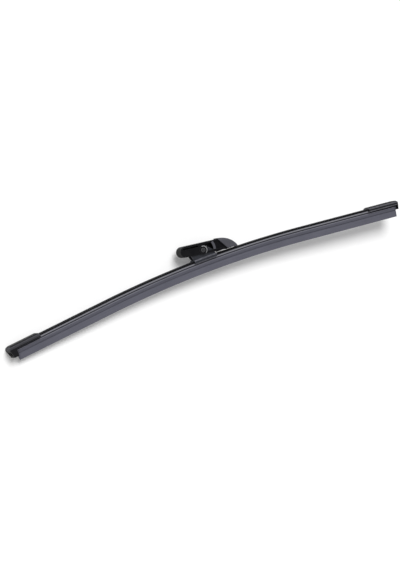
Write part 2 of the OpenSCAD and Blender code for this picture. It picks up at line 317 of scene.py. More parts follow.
# %% [markdown]
# Moulded plastic, painted steel and rubber all show the same few things up
# close: a fine grain that breaks the gloss, a slow drift of tone, and edges
# that handling has polished. The lighter tone on those edges is also a painted
# highlight, the fine line of light along a rounded edge. Drawn rubber and rolled
# steel add fine lines that run along the piece. Each of these is a node group,
# and each material places it with its own values. A noise texture rarely leaves
# the middle of its range, so the span that it does reach is stretched to what a
# tone or a gloss needs.

# %% Node groups
NOISE_SPAN = (0.3, 0.7)
WORN_LEAST = 0.35


def grain_group():
    """Height is a fine noise that the bump reads. Drift is a slow noise that tone and gloss follow."""
    group, inner, outer = new_group(
        "surface_grain",
        [("Vector", "NodeSocketVector", None), ("Grain per metre", "NodeSocketFloat", 3000.0),
         ("Drift per metre", "NodeSocketFloat", 60.0)],
        [("Height", "NodeSocketFloat"), ("Drift", "NodeSocketFloat")])
    fine = node(group, "ShaderNodeTexNoise", Vector=inner.outputs["Vector"],
                Scale=inner.outputs["Grain per metre"], Detail=3.0, Roughness=0.6)
    slow = node(group, "ShaderNodeTexNoise", Vector=inner.outputs["Vector"],
                Scale=inner.outputs["Drift per metre"], Detail=4.0, Roughness=0.55)
    group.links.new(fine.outputs["Fac"], outer.inputs["Height"])
    group.links.new(slow.outputs["Fac"], outer.inputs["Drift"])
    return group


def wear_and_highlight_group():
    """Mask is the edge mark, broken up by a noise: an edge polished in places only, and a painted highlight.
    """
    group, inner, outer = new_group(
        "edge_wear_and_highlight",
        [("Vector", "NodeSocketVector", None), ("Edge", "NodeSocketFloat", 0.0),
         ("Amount", "NodeSocketFloat", 0.5), ("Patches per metre", "NodeSocketFloat", 400.0)],
        [("Mask", "NodeSocketFloat")])
    patches = node(group, "ShaderNodeTexNoise", Vector=inner.outputs["Vector"],
                   Scale=inner.outputs["Patches per metre"], Detail=3.0, Roughness=0.6)
    broken = ranged(group, patches.outputs["Fac"], NOISE_SPAN, (WORN_LEAST, 1))
    marked = node(group, "ShaderNodeMath", operation="MULTIPLY")
    group.links.new(broken, marked.inputs[0])
    group.links.new(inner.outputs["Edge"], marked.inputs[1])
    worn_and_lit = node(group, "ShaderNodeMath", operation="MULTIPLY")
    group.links.new(marked.outputs[0], worn_and_lit.inputs[0])
    group.links.new(inner.outputs["Amount"], worn_and_lit.inputs[1])
    group.links.new(worn_and_lit.outputs[0], outer.inputs["Mask"])
    return group


def lines_group():
    """Lines is a noise stretched along the first coordinate, as a die leaves on a drawn strip."""
    group, inner, outer = new_group(
        "drawn_lines",
        [("Vector", "NodeSocketVector", None), ("Lines per metre", "NodeSocketFloat", 3000.0),
         ("Stretch", "NodeSocketFloat", 0.004)],
        [("Lines", "NodeSocketFloat")])
    parts = node(group, "ShaderNodeSeparateXYZ", Vector=inner.outputs["Vector"])
    along = node(group, "ShaderNodeMath", operation="MULTIPLY")
    group.links.new(parts.outputs["X"], along.inputs[0])
    group.links.new(inner.outputs["Stretch"], along.inputs[1])
    joined = node(group, "ShaderNodeCombineXYZ", X=along.outputs[0], Y=parts.outputs["Y"])
    lines = node(group, "ShaderNodeTexNoise", Vector=joined.outputs["Vector"],
                 Scale=inner.outputs["Lines per metre"], Detail=2.0, Roughness=0.5)
    group.links.new(lines.outputs["Fac"], outer.inputs["Lines"])
    return group


GRAIN = grain_group()
WEAR_AND_HIGHLIGHT = wear_and_highlight_group()
LINES = lines_group()
print("node groups:", [g.name for g in (GRAIN, WEAR_AND_HIGHLIGHT, LINES)])

# %% [markdown]
# Every finish here is one of two kinds. A moulded or turned piece has grain in
# all directions, and its rounded edges are a little polished. A drawn or
# rolled strip has fine lines along its length, which follow its own UV map
# round the arch. Both end in a Principled shader, whose plain numbers sit on
# its own sockets. Faces can carry marks, which are attributes between 0 and 1:
# edge and the mark for painted shade on a moulding, and the mark for painted
# light and lip on a strip. A material mixes in a lighter or darker tone where it
# finds them. The edge mark is polish and a painted highlight, the shade mark is
# painted shade, the light mark is painted light, and lip is a plain black.

# %% Helpers for finishes
BUMP_DEPTH = 0.03 * MM
GLOSS_DRIFT = 0.06


def place_group(tree, group, vector, **values):
    """Places a node group, feeds its Vector and sets its other inputs."""
    made = node(tree, "ShaderNodeGroup", node_tree=group)
    tree.links.new(vector, made.inputs["Vector"])
    for name, value in values.items():
        socket = made.inputs[name.replace("_", " ")]
        if isinstance(value, bpy.types.NodeSocket):
            tree.links.new(value, socket)
        else:
            socket.default_value = value
    return made


def surface(tree, colour, roughness, height, bump, settings):
    """Principled shader with a bump, and plain numbers on its own sockets."""
    relief = node(tree, "ShaderNodeBump", Strength=bump, Distance=BUMP_DEPTH)
    tree.links.new(height, relief.inputs["Height"])
    shader = node(tree, "ShaderNodeBsdfPrincipled")
    for socket, value in settings.items():
        shader.inputs[socket.replace("_", " ")].default_value = value
    tree.links.new(colour, shader.inputs["Base Color"])
    tree.links.new(roughness, shader.inputs["Roughness"])
    tree.links.new(relief.outputs["Normal"], shader.inputs["Normal"])
    output = node(tree, "ShaderNodeOutputMaterial")
    tree.links.new(shader.outputs[0], output.inputs["Surface"])


def drifting_gloss(tree, drift, roughness):
    """Roughness that follows a slow noise a little way up and down."""
    return ranged(tree, drift, NOISE_SPAN, (roughness - GLOSS_DRIFT, roughness + GLOSS_DRIFT))


def marked(tree, attribute, most, colour, tint):
    """Mixes a tint into the colour on the faces that carry a mark, up to the share given."""
    mark = node(tree, "ShaderNodeAttribute", attribute_name=attribute)
    return mixed_colour(tree, ranged(tree, mark.outputs["Fac"], (0, 1), (0, most)), colour, tint)


# %% Two kinds of finish
# Painted shade: the black that marked faces are mixed to, and its share.
PAINTED_SHADE_BLACK, PAINTED_SHADE_SHARE = (0.002, 0.002, 0.003), 0.9
TINT_SHARE = 0.85
LINES_SPAN = (0.7, 1.3)
STRIP_GRAIN = 6000


def moulded(name, dark, light, worn_and_lit, roughness, grain, drift, bump, highlight_and_wear, **settings):
    """Two tones that drift, a grained surface, a lighter tone on edges that is polish and painted highlight,
    and black painted shade on marked faces.
    """
    material = bpy.data.materials.new(name)
    tree = shader_tree(material)
    where = node(tree, "ShaderNodeTexCoord").outputs["Object"]
    texture = place_group(tree, GRAIN, where, Grain_per_metre=grain, Drift_per_metre=drift)
    mark = node(tree, "ShaderNodeAttribute", attribute_name="edge")
    edges = place_group(tree, WEAR_AND_HIGHLIGHT, where, Edge=mark.outputs["Fac"], Amount=highlight_and_wear)
    tone = ranged(tree, texture.outputs["Drift"], NOISE_SPAN, (0, 1))
    colour = mixed_colour(tree, tone, dark, light)
    # The edge mark brings the rubbed tone: polish, and a painted highlight.
    colour = mixed_colour(tree, edges.outputs["Mask"], colour, worn_and_lit)
    # Painted shade: faces that carry the shade mark go black.
    colour = marked(tree, "painted_shade", PAINTED_SHADE_SHARE, colour, PAINTED_SHADE_BLACK)
    gloss = drifting_gloss(tree, texture.outputs["Drift"], roughness)
    surface(tree, colour, gloss, texture.outputs["Height"], bump, settings)
    return material


def drawn(name, dark, light, painted_light, lip, roughness, lines, stretch, drift, bump, **settings):
    """Two tones that follow fine lines along the piece and a slow drift, and a bump from the lines.

    Faces that carry the mark for painted light tend to a lighter tone, and faces that carry "lip" to a black
    of their own.
    """
    material = bpy.data.materials.new(name)
    tree = shader_tree(material)
    where = node(tree, "ShaderNodeTexCoord")
    texture = place_group(tree, GRAIN, where.outputs["Object"], Grain_per_metre=STRIP_GRAIN,
                          Drift_per_metre=drift)
    along = place_group(tree, LINES, where.outputs["UV"], Lines_per_metre=lines, Stretch=stretch)
    both = node(tree, "ShaderNodeMath", operation="ADD")
    tree.links.new(along.outputs["Lines"], both.inputs[0])
    tree.links.new(texture.outputs["Drift"], both.inputs[1])
    tone = ranged(tree, both.outputs[0], LINES_SPAN, (0, 1))
    colour = mixed_colour(tree, tone, dark, light)
    # Painted light: a lighter tone on the faces marked for it.
    colour = marked(tree, "painted_light", TINT_SHARE, colour, painted_light)
    colour = marked(tree, "lip", TINT_SHARE, colour, lip)
    gloss = drifting_gloss(tree, texture.outputs["Drift"], roughness)
    surface(tree, colour, gloss, along.outputs["Lines"], bump, settings)
    return material


# %% [markdown]
# Nearly all of the blade is dark, so what tells its pieces apart is small steps
# between dark tones. They were set by laying the render beside the photograph.
# The rubber is a slightly violet grey, the hood and the caps are darker, and
# the rails and the adapter are close to black. The bead round the pin's eye is
# the only bright piece, and its brightness is a painted highlight. The dark
# ones send little light to the camera, so their specular levels are low.

# %% Materials
PAINT_BLACK = (0.005, 0.005, 0.006)
# The rubber's third tone is painted light: it lifts the head out of the rails' shade and draws a highlight on
# the shoulder's edge.
RUBBER = drawn("graphite_rubber", dark=(0.084, 0.085, 0.108), light=(0.114, 0.114, 0.143),
               painted_light=(0.27, 0.27, 0.30), lip=PAINT_BLACK, roughness=0.66, lines=2600, stretch=0.006,
               drift=40, bump=0.35, Specular_IOR_Level=0.2)
PAINT = drawn("satin_black_paint", dark=(0.003, 0.003, 0.004), light=(0.006, 0.006, 0.007),
              painted_light=PAINT_BLACK, lip=PAINT_BLACK, roughness=0.5, lines=3000, stretch=0.01,
              drift=60, bump=0.15, Specular_IOR_Level=0.05)
CAP = moulded("matt_cap_plastic", dark=(0.030, 0.030, 0.035), light=(0.046, 0.046, 0.053),
              worn_and_lit=(0.17, 0.17, 0.19), roughness=0.5, grain=4000, drift=80, bump=0.3, highlight_and_wear=0.5,
              Specular_IOR_Level=0.1)
BRACKET = moulded("bracket_plastic", dark=(0.010, 0.011, 0.016), light=(0.017, 0.019, 0.026),
                  worn_and_lit=(0.17, 0.17, 0.20), roughness=0.42, grain=4000, drift=90, bump=0.3, highlight_and_wear=0.8,
                  Specular_IOR_Level=0.2)
ADAPTER = moulded("adapter_plastic", dark=(0.002, 0.002, 0.003), light=(0.006, 0.006, 0.007),
                  worn_and_lit=(0.07, 0.07, 0.08), roughness=0.45, grain=4000, drift=140, bump=0.35, highlight_and_wear=0.6,
                  Specular_IOR_Level=0.06)
HOOD = moulded("hood_plastic", dark=(0.044, 0.044, 0.054), light=(0.062, 0.062, 0.075),
               worn_and_lit=(0.17, 0.17, 0.19), roughness=0.5, grain=4000, drift=90, bump=0.3, highlight_and_wear=0.7,
               Specular_IOR_Level=0.25)
# The bead's bright tone is a painted highlight on the eye's rim.
BEAD_HIGHLIGHT = moulded("painted_highlight_bead", dark=(0.20, 0.20, 0.21), light=(0.32, 0.32, 0.33),
               worn_and_lit=(0.40, 0.40, 0.42), roughness=0.25, grain=4000, drift=300, bump=0.1, highlight_and_wear=0.7)
STEEL = moulded("blackened_steel", dark=(0.008, 0.008, 0.010), light=(0.018, 0.018, 0.020),
                worn_and_lit=(0.30, 0.30, 0.31), roughness=0.4, grain=3000, drift=200, bump=0.2, highlight_and_wear=0.8,
                Specular_IOR_Level=0.3)
print("materials:", [m.name for m in bpy.data.materials if m.node_tree])

# %% [markdown]
# A new piece gets its finish and the body that it rides on, and the node of
# the imported model that it stands for is hidden. The body follows from the
# node's name, so one helper does all three.


def dress(piece, material, name):
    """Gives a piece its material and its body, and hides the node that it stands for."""
    piece.data.materials.clear()
    piece.data.materials.append(material)
    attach(piece, body_of[name])
    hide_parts(name)
    low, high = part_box(name)
    size = np.array([high[i] - low[i] for i in range(3)])
    print(piece.name, "faces:", len(piece.data.polygons), "node's size in mm:", np.round(size / MM, 2))


def grid_faces(rows, columns, closed):
    """Quads between neighbours on a grid of points, row after row.

    A closed grid also joins its last column to its first.
    """
    i, j = np.meshgrid(np.arange(rows - 1), np.arange(columns if closed else columns - 1), indexing="ij")
    k = (j + 1) % columns
    here, after = i * columns, (i + 1) * columns
    quads = np.stack([here + j, here + k, after + k, after + j], axis=-1)
    return quads.reshape(-1, 4)


def add_object(name, mesh):
    """Links a mesh as an object at the origin."""
    piece = bpy.data.objects.new(name, mesh)
    bpy.context.scene.collection.objects.link(piece)
    return piece


# %% [markdown]
# The rubber and the two rails are strips of one section that follow the same
# line: an arch in the middle and a straight run to each tip. So each of them
# is a profile carried along a path. The path is a function of the distance
# along it, and at every place it has a direction that points away from the
# glass.

# %% The line along the blade
BLADE_LEN = 380 * MM
ARCH_LEN = 192 * MM
ARCH_HALF = math.radians(5.4)
ARCH_R = ARCH_LEN / 2 / ARCH_HALF
PIVOT_H = 7 * MM


def along_rails(s):
    """Point on the rails' upper face at distance s from the middle, and the outward direction there.

    The angle is s over the radius and stops at the arch's ends. What is left of s is walked straight on.
    """
    turn = np.clip(s / ARCH_R, -ARCH_HALF, ARCH_HALF)
    rest = s - turn * ARCH_R
    x = ARCH_R * np.sin(turn) + rest * np.cos(turn)
    z = ARCH_R * (np.cos(turn) - 1) - PIVOT_H - rest * np.sin(turn)
    nothing = np.zeros_like(s)
    return np.stack([x, nothing, z], axis=-1), np.stack([np.sin(turn), nothing, np.cos(turn)], axis=-1)


place, out = along_rails(np.array([0.0, ARCH_LEN / 2, BLADE_LEN / 2]))
print("middle, end of the arch and tip in mm:", np.round(place[:, [0, 2]] / MM, 2).tolist())

# %% [markdown]
# A curve object with a bevel could carry a profile too. A grid of points is as
# short to write, keeps the profile upright on the path, and gets a UV map from
# the same two distances: along the blade and round the section. The profile's
# corners are eased first, since neither drawn rubber nor rolled steel has knife
# edges.

# %% A strip along that line
STATION = 3 * MM
EASE_SHARE = 0.45


def eased(corners, radius, steps=3):
    """A closed outline with each corner replaced by a curve.

    The curve starts and ends at most one radius from the corner, or a set share of the edge, and is the
    quadratic Bezier with the corner as its middle point.
    """
    corners = np.asarray(corners, float)

    def towards(others):
        step = others - corners
        length = np.linalg.norm(step, axis=1, keepdims=True)
        return corners + step / length * np.minimum(radius, EASE_SHARE * length)

    start = towards(np.roll(corners, 1, axis=0))
    end = towards(np.roll(corners, -1, axis=0))
    t = np.linspace(0, 1, steps + 1)[:, None, None]
    curve = (1 - t) ** 2 * start + 2 * t * (1 - t) * corners + t ** 2 * end
    return curve.transpose(1, 0, 2).reshape(-1, 2)


def strip(name, outline, from_left, from_right):
    """Carries an outline (across, up) along the rails, from and to the given lengths short of the tips.

    Each point is the path's point, plus what it lies across along Y, plus its height along the outward
    direction.
    """
    stations = int((BLADE_LEN - from_left - from_right) / STATION)
    s = np.linspace(-BLADE_LEN / 2 + from_left, BLADE_LEN / 2 - from_right, stations)
    place, out = along_rails(s)
    points = place[:, None] + outline[None, :, :1] * np.array([0, 1, 0]) + outline[None, :, 1:] * out[:, None]
    rows, columns = len(s), len(outline)
    faces = grid_faces(rows, columns, True).tolist()
    faces += [list(range(columns))[::-1], list(range((rows - 1) * columns, rows * columns))]
    mesh = bpy.data.meshes.new(name)
    mesh.from_pydata(points.reshape(-1, 3).tolist(), [], faces)
    around = np.concatenate([[0], np.cumsum(np.linalg.norm(np.diff(outline, axis=0), axis=1))])
    flat = np.stack(np.meshgrid(s, around, indexing="ij"), axis=-1).reshape(-1, 2)
    corner = np.empty(len(mesh.loops), dtype=np.int32)
    mesh.loops.foreach_get("vertex_index", corner)
    mesh.uv_layers.new(name="along").data.foreach_set("uv", flat[corner].ravel())
    return finish_strip(name, mesh)


def finish_strip(name, mesh):
    """Turns the faces outwards and smooths all but the two cut ends."""
    work = bmesh.new()
    work.from_mesh(mesh)
    bmesh.ops.recalc_face_normals(work, faces=work.faces)
    for face in work.faces:
        face.smooth = len(face.verts) == 4
    work.to_mesh(mesh)
    work.free()
    return add_object(name, mesh)


print("a strip's sections stand about", round(STATION / MM), "mm apart")

# %% [markdown]
# The rubber's section tells how a blade works. A lip and a head hold the two
# rails in grooves. Below the head a thin waist lets the strip lean over, then
# comes a shoulder bar that stops it from leaning too far, a taper, a second
# waist, and the wiping lip. The half section is listed from the top down with
# one named size for each level, and the other half is its mirror image.
# The head is painted lighter, where the rails would shade it, and the
# shoulder's upper edge gets a painted highlight. The lip above the rails is as
# black as they are. These faces carry marks for the material.

# %% Wiping rubber
RAILS_W, RAIL_W, RAIL_T, RAIL_GAP = 9 * MM, 3.6 * MM, 0.95 * MM, 0.05 * MM
NOSE_LEN, END_WALL = 6.4 * MM, 1.2 * MM
HEAD_W, HEAD_T, HEAD_LIP_W, HEAD_LIP_T = 6 * MM, 1.6 * MM, 3.4 * MM, 0.45 * MM
WAIST_W, WAIST_H = 1.2 * MM, 1.1 * MM
SHOULDER_W, SHOULDER_H = 5.2 * MM, 0.8 * MM
TAPER_W, TAPER_H, NOTCH_H = 3 * MM, 2.1 * MM, 0.7 * MM
LIP_ROOT_W, LIP_EDGE_W, RUBBER_DROP = 2 * MM, 0.7 * MM, 12.4 * MM
RUBBER_EASE = 0.25 * MM


def rubber_outline():
    """The closed section, from its +Y half and that half's mirror image."""
    web = RAILS_W / 2 - RAIL_W - RAIL_GAP
    rail_low = -RAIL_T - RAIL_GAP
    head_low = -RAIL_T - HEAD_T
    waist_low = head_low - WAIST_H
    shoulder_low = waist_low - SHOULDER_H
    taper_low = shoulder_low - TAPER_H
    lip_top = taper_low - NOTCH_H
    half = np.array([
        (HEAD_LIP_W / 2, HEAD_LIP_T), (HEAD_LIP_W / 2, RAIL_GAP), (web, RAIL_GAP), (web, rail_low),
        (HEAD_W / 2, rail_low), (HEAD_W / 2, head_low), (WAIST_W / 2, head_low), (WAIST_W / 2, waist_low),
        (SHOULDER_W / 2, waist_low), (SHOULDER_W / 2, shoulder_low), (TAPER_W / 2, taper_low),
        (WAIST_W / 2, taper_low), (WAIST_W / 2, lip_top), (LIP_ROOT_W / 2, lip_top),
        (LIP_EDGE_W / 2, -RUBBER_DROP + LIP_EDGE_W), (LIP_EDGE_W / 2, -RUBBER_DROP)])
    return eased(np.concatenate([half, half[::-1] * [-1, 1]]), RUBBER_EASE)


def mark_faces(piece, attribute, across, *ranges):
    """Gives 1 to the faces at least so far across, whose height on the section is in one of the ranges.

    That height is how far the face's middle lies from the arch's centre in the outward direction there,
    less the arch's radius.
    """
    mesh = piece.data
    middle = np.empty(len(mesh.polygons) * 3)
    mesh.polygons.foreach_get("center", middle)
    x, y, z = middle.reshape(-1, 3).T
    z = z + PIVOT_H + ARCH_R
    turn = np.clip(np.arctan2(x, z), -ARCH_HALF, ARCH_HALF)
    height = x * np.sin(turn) + z * np.cos(turn) - ARCH_R
    inside = np.zeros(len(y), dtype=bool)
    for low, high in ranges:
        inside |= (np.abs(y) >= across) & (height > low) & (height < high)
    mesh.attributes.new(attribute, "FLOAT", "FACE").data.foreach_set("value", inside.astype(float))
    return int(inside.sum())


rubber = strip("wiping_strip", rubber_outline(), NOSE_LEN, END_WALL)
head_top, head_low = -RAIL_T - RUBBER_EASE, -RAIL_T - HEAD_T
shoulder_top = head_low - WAIST_H
# Painted light on the head and a painted highlight on the shoulder's upper edge.
lighter = mark_faces(rubber, "painted_light", SHOULDER_W / 2 - 2 * RUBBER_EASE, (head_low, head_top),
                     (shoulder_top - RUBBER_EASE, shoulder_top + RUBBER_EASE))
black = mark_faces(rubber, "lip", 0, (head_top, HEAD_LIP_T + RAIL_GAP))
print("faces on the head and the shoulder's edge:", lighter, "on the upper lip:", black)
dress(rubber, RUBBER, "wiping_rubber")

# %% [markdown]
# A spring rail is a strip of flat steel, rolled, so that its edges are rounded,
# and painted black. The same path carries its rectangle, so it bends with the
# rubber in steps as short. The two rails differ only in the side that they lie
# on.

# %% Spring rails
RAIL_BACK = 2.2 * MM
RAIL_EASE, RAIL_EASE_STEPS = 0.3 * MM, 5


def rail_outline(side):
    """The rail's rectangle on the -Y side (-1) or the +Y side (+1), with its edges eased."""
    inner, outer = (RAILS_W / 2 - RAIL_W) * side, RAILS_W / 2 * side
    return eased([(inner, 0), (outer, 0), (outer, -RAIL_T), (inner, -RAIL_T)], RAIL_EASE, RAIL_EASE_STEPS)


for name, side in (("spring_rail_front", -1), ("spring_rail_rear", 1)):
    rail = strip(name.replace("spring_rail", "painted_rail"), rail_outline(side), RAIL_BACK, RAIL_BACK)
    dress(rail, PAINT, name)

# %% [markdown]
# The moulded pieces keep the forms of the imported model. What a mould adds is a
# small radius on every edge, which catches the light as a fine line. So the
# sharp edges of a mesh are bevelled, and the faces of the bevel carry the mark
# edge, which the materials paint in a lighter tone: a painted highlight along
# that line, and a little polish. A Bevel modifier would round them too, but
# without such a mark. Another modifier, which weighs normals by area, then
# keeps the large faces flat.

# %% Rounded edges
SHARP_FLAT, SHARP_CURVED = math.radians(28), math.radians(40)
ROUND_STEPS = 2
AREA_WEIGHT = 90


def round_edges(work, width, sharp):
    """Rounds every edge that turns by more than the sharp angle, and marks the new faces with edge = 1."""
    mark = work.faces.layers.float.new("edge")
    work.normal_update()
    edges = [e for e in work.edges if len(e.link_faces) == 2 and e.calc_face_angle(0) > sharp]
    made = bmesh.ops.bevel(work, geom=edges, offset=width, offset_type="OFFSET", segments=ROUND_STEPS,
                           profile=0.5, affect="EDGES", clamp_overlap=True)
    # These faces get the rubbed tone: a painted highlight along the rounded edge.
    for face in made["faces"]:
        face[mark] = 1.0
    for face in work.faces:
        face.smooth = True
    bmesh.ops.recalc_face_normals(work, faces=work.faces)


def even_normals(piece):
    """Shades large faces flat and lets the roundings take the turn."""
    modifier = piece.modifiers.new("even_normals", "WEIGHTED_NORMAL")
    modifier.keep_sharp = True
    modifier.weight = AREA_WEIGHT


def mesh_object(name, mesh, work):
    """Puts the worked mesh back and makes it an object."""
    work.to_mesh(mesh)
    work.free()
    piece = add_object(name, mesh)
    even_normals(piece)
    return piece


print("edges are rounded that turn by more than", round(math.degrees(SHARP_FLAT)), "degrees, and on the",
      "curved forms by more than", round(math.degrees(SHARP_CURVED)))

# %% [markdown]
# Light and shade on a moulding say more than its outline does, so some of it is
# painted. A slot or window gets painted shade down into the dark, a bevel that
# looks up gets a painted highlight, and the adapter's sides are painted black
# shade between its arched rib and the hood. Where a plane is cut through the
# mesh first, only edges are added, and the shape stays as it is.

# %% Marks for the material
SIDEWAYS, SLOPE = 0.9, 0.5
RECESS = 0.5 * MM
ADAPTER_W, TILT = 10 * MM, math.radians(7)
BEHIND_RIB = 10.2 * MM


def cut_line(work, point, normal):
    """Adds edges where a plane crosses the faces."""
    everything = [*work.verts, *work.edges, *work.faces]
    bmesh.ops.bisect_plane(work, geom=everything, plane_co=point, plane_no=normal)


def mark_slopes(work):
    """Gives edge = 1, a painted highlight, to the faces that look both outwards and up, towards the light."""
    mark = work.faces.layers.float["edge"]
    for face in work.faces:
        if abs(face.normal.y) > SLOPE and face.normal.z > SLOPE:
            face[mark] = 1.0


def mark_recess(work):
    """Gives the mark for painted shade to the adapter's faces that look sideways, and lie in a recess or
    behind the rib.
    """
    along = Vector((math.cos(TILT), 0, -math.sin(TILT)))
    cut_line(work, along * BEHIND_RIB, along)
    mark = work.faces.layers.float.new("painted_shade")
    for face in work.faces:
        inside = abs(face.verts[0].co.y) < ADAPTER_W / 2 - RECESS
        if abs(face.normal.y) > SIDEWAYS and (inside or face.calc_center_median().dot(along) > BEHIND_RIB):
            face[mark] = 1.0


print("the adapter's sides are black from", round(BEHIND_RIB / MM, 1), "mm behind the pin")

# %% [markdown]
# A cap holds the ends of both rails together. Painted shade darkens it along its
# top and in a stripe on its side, and its end below that stripe. On the right
# cap all the other faces take the rubbed tone of its edges, as painted light,
# since that end is lit more brightly. Its inner end is a plain step. In the
# photograph the right cap ends 29 mm from the tip, and the packed one is
# longer, so the copy's inner end is moved along the rails to there.

# %% The caps' ends and bands
CAP_LEN_RIGHT, CAP_LEN_SEEN = 40 * MM, 29 * MM
CAP_BODY = 20 * MM
CAP_SHADE_TOP = 0.95 * MM
CAP_SHADE_BAND = {-1: (-2.1 * MM, -1.2 * MM), 1: (-1.5 * MM, -0.25 * MM)}
CAP_SHADE_END = {-1: NOSE_LEN, 1: END_WALL}


def cap_frame(side):
    """Tip of the blade on one side (-1 left, 1 right), the direction towards that tip and the outward one."""
    (tip,), (out,) = along_rails(np.array([side * BLADE_LEN / 2]))
    return Vector(tip), Vector((side * out[2], 0, -side * out[0])), Vector(out)


def shorten_cap(work, side):
    """Moves what lies further than CAP_BODY from the tip towards it."""
    tip, along, out = cap_frame(side)
    for vert in work.verts:
        if (vert.co - tip).dot(along) < -CAP_BODY:
            vert.co += along * (CAP_LEN_RIGHT - CAP_LEN_SEEN)


def mark_cap(work, side):
    """Gives painted shade to the top, the stripe and the end below it, and on the right edge = 1, painted
    light, to all the rest.
    """
    tip, along, out = cap_frame(side)
    low, high = CAP_SHADE_BAND[side]
    for height in (CAP_SHADE_TOP, high, low):
        cut_line(work, tip + out * height, out)
    cut_line(work, tip - along * CAP_SHADE_END[side], along)
    dark = work.faces.layers.float.new("painted_shade")
    painted_light_layer = work.faces.layers.float["edge"]
    for face in work.faces:
        place = face.calc_center_median() - tip
        height = place.dot(out)
        at_end = height < low and -place.dot(along) < CAP_SHADE_END[side]
        # Painted shade on the top, the side stripe and the end below it.
        if height > CAP_SHADE_TOP or low < height < high or at_end:
            face[dark] = 1.0
        # Painted light: the rest of the right cap takes the rubbed tone.
        elif side > 0:
            face[painted_light_layer] = 1.0


def mark_left_cap(work):
    """The left cap keeps its length."""
    mark_cap(work, -1)


def mark_right_cap(work):
    """The right cap is shortened first."""
    shorten_cap(work, 1)
    mark_cap(work, 1)


print("right cap shown", round(CAP_LEN_SEEN / MM), "mm long, packed", round(CAP_LEN_RIGHT / MM), "mm long")

# %% [markdown]
# A node's mesh is loose triangles. So its copy is merged first, and triangles
# that lie in one plane are joined up, so that the bevel finds the real edges
# only. The pin is turned and not moulded, but its rims are rounded in the same
# way.

# %% Moulded pieces and the pin
MERGE = 0.002 * MM
FLAT = math.radians(0.4)


def rounded_copy(name, title, width, marks):
    """A merged copy of a node's mesh with its sharp edges rounded, and marked for the material."""
    mesh = bpy.data.meshes.new(title)
    work = bmesh.new()
    work.from_mesh(frame["nodes"][name].data)
    bmesh.ops.remove_doubles(work, verts=work.verts, dist=MERGE)
    bmesh.ops.dissolve_limit(work, angle_limit=FLAT, verts=work.verts, edges=work.edges)
    round_edges(work, width, SHARP_FLAT)
    if marks:
        marks(work)
    return mesh_object(title, mesh, work)


for name, title, material, width, marks in (
        ("end_cap_left", "left_cap", CAP, 0.22 * MM, mark_left_cap),
        ("end_cap_right", "right_cap", CAP, 0.22 * MM, mark_right_cap),
        ("rail_bracket", "moulded_bracket", BRACKET, 0.15 * MM, mark_slopes),
        ("pivot_pin", "pivot_rivet", STEEL, 0.3 * MM, None),
        ("arm_adapter", "moulded_adapter", ADAPTER, 0.18 * MM, mark_recess)):
    dress(rounded_copy(name, title, width, marks), material, name)

# %% [markdown]
# The hood behind the adapter is a thin shell with a back that curves down to
# the blade, and with rounded shoulders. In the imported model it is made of
# flat facets. Here it is one smooth surface of two parameters: how far along
# from the front edge to the tail, and how far round the section from one foot
# over the back to the other.

# %% Hood surface
TOP_H, HOOD_STEP = 6.3 * MM, 0.7 * MM
HOOD_X, HOOD_TAIL_X, HOOD_LEAN = 15.2 * MM, 32.4 * MM, 7.4 * MM
HOOD_Y, HOOD_TAIL_Y = 5.4 * MM, 3.9 * MM
HOOD_WALL, HOOD_ROUND, HOOD_BEND = 1.3 * MM, 2 * MM, 0.62
STOP_GAP = 0.3 * MM
ALONG, SIDE_STEPS, CORNER_STEPS, BACK_STEPS = 40, 10, 8, 10
ROUNDS = 40


def hood_foot():
    """Height of the hood's foot: at the tail it stops just above the rubber's upper lip."""
    tail_x = HOOD_TAIL_X * math.cos(TILT)
    lip = math.sqrt(ARCH_R ** 2 - tail_x ** 2) - ARCH_R - PIVOT_H + HEAD_LIP_T
    return (lip + STOP_GAP + HOOD_TAIL_X * math.sin(TILT)) / math.cos(TILT)


def hood_section(u, around, inset):
    """Width and height at u for a place round the section, from 0 at one foot to 4 at the other.

    0 to 1 climbs the side, 1 to 2 turns the shoulder, and from 2 on the other half is the mirror image.
    The back falls as (1 - share squared) to the power of the bend, and the width as its square root.
    """
    share = np.clip((u - HOOD_X) / (HOOD_TAIL_X - HOOD_X), 0, 1)
    low = hood_foot()
    top = low + (TOP_H + HOOD_STEP - low) * (1 - share ** 2) ** HOOD_BEND - inset
    half = HOOD_TAIL_Y + (HOOD_Y - HOOD_TAIL_Y) * np.sqrt(1 - share ** 2) - inset
    r = np.minimum(HOOD_ROUND, (top - low) / 2)
    place = np.where(around > 2, 4 - around, around)
    climb = np.clip(place, 0, 1)
    angle = np.clip(place - 1, 0, 0.5) * math.pi
    over = np.clip(place - 1.5, 0, 0.5) * 2
    y = (half - r) * (1 - over) + r * np.cos(angle)
    w = low + (top - r - low) * climb + r * np.sin(angle)
    return np.where(around > 2, -y, y), w


def hood_surface(tail, inset):
    """Grid of points (along, around) in the adapter's frame, from the slanted front edge to the tail.

    The front edge leans back below the adapter's top, so the start of each line depends on its height, and
    the height on its place along. Working out one from the other, round after round, settles both.
    """
    t = np.sin(np.linspace(0, math.pi / 2, ALONG))[:, None]
    around = np.concatenate([np.linspace(0, 1, SIDE_STEPS, endpoint=False),
                             np.linspace(1, 1.5, CORNER_STEPS, endpoint=False),
                             np.linspace(1.5, 2.0, BACK_STEPS)])
    around = np.concatenate([around, 4 - around[-2::-1]])[None, :]
    u = HOOD_X + (tail - HOOD_X) * t + 0 * around
    for _ in range(ROUNDS):
        y, w = hood_section(u, around, inset)
        lean = np.clip((TOP_H - w) / (TOP_H - hood_foot()), 0, 1)
        start = HOOD_X + HOOD_LEAN * lean
        u = (u + start + (tail - start) * t) / 2
    y, w = hood_section(u, around, inset)
    return np.stack([u, y, w], axis=-1)


print("the hood's foot lies", round(-hood_foot() / MM, 2), "mm below the pin's level in the adapter's frame")

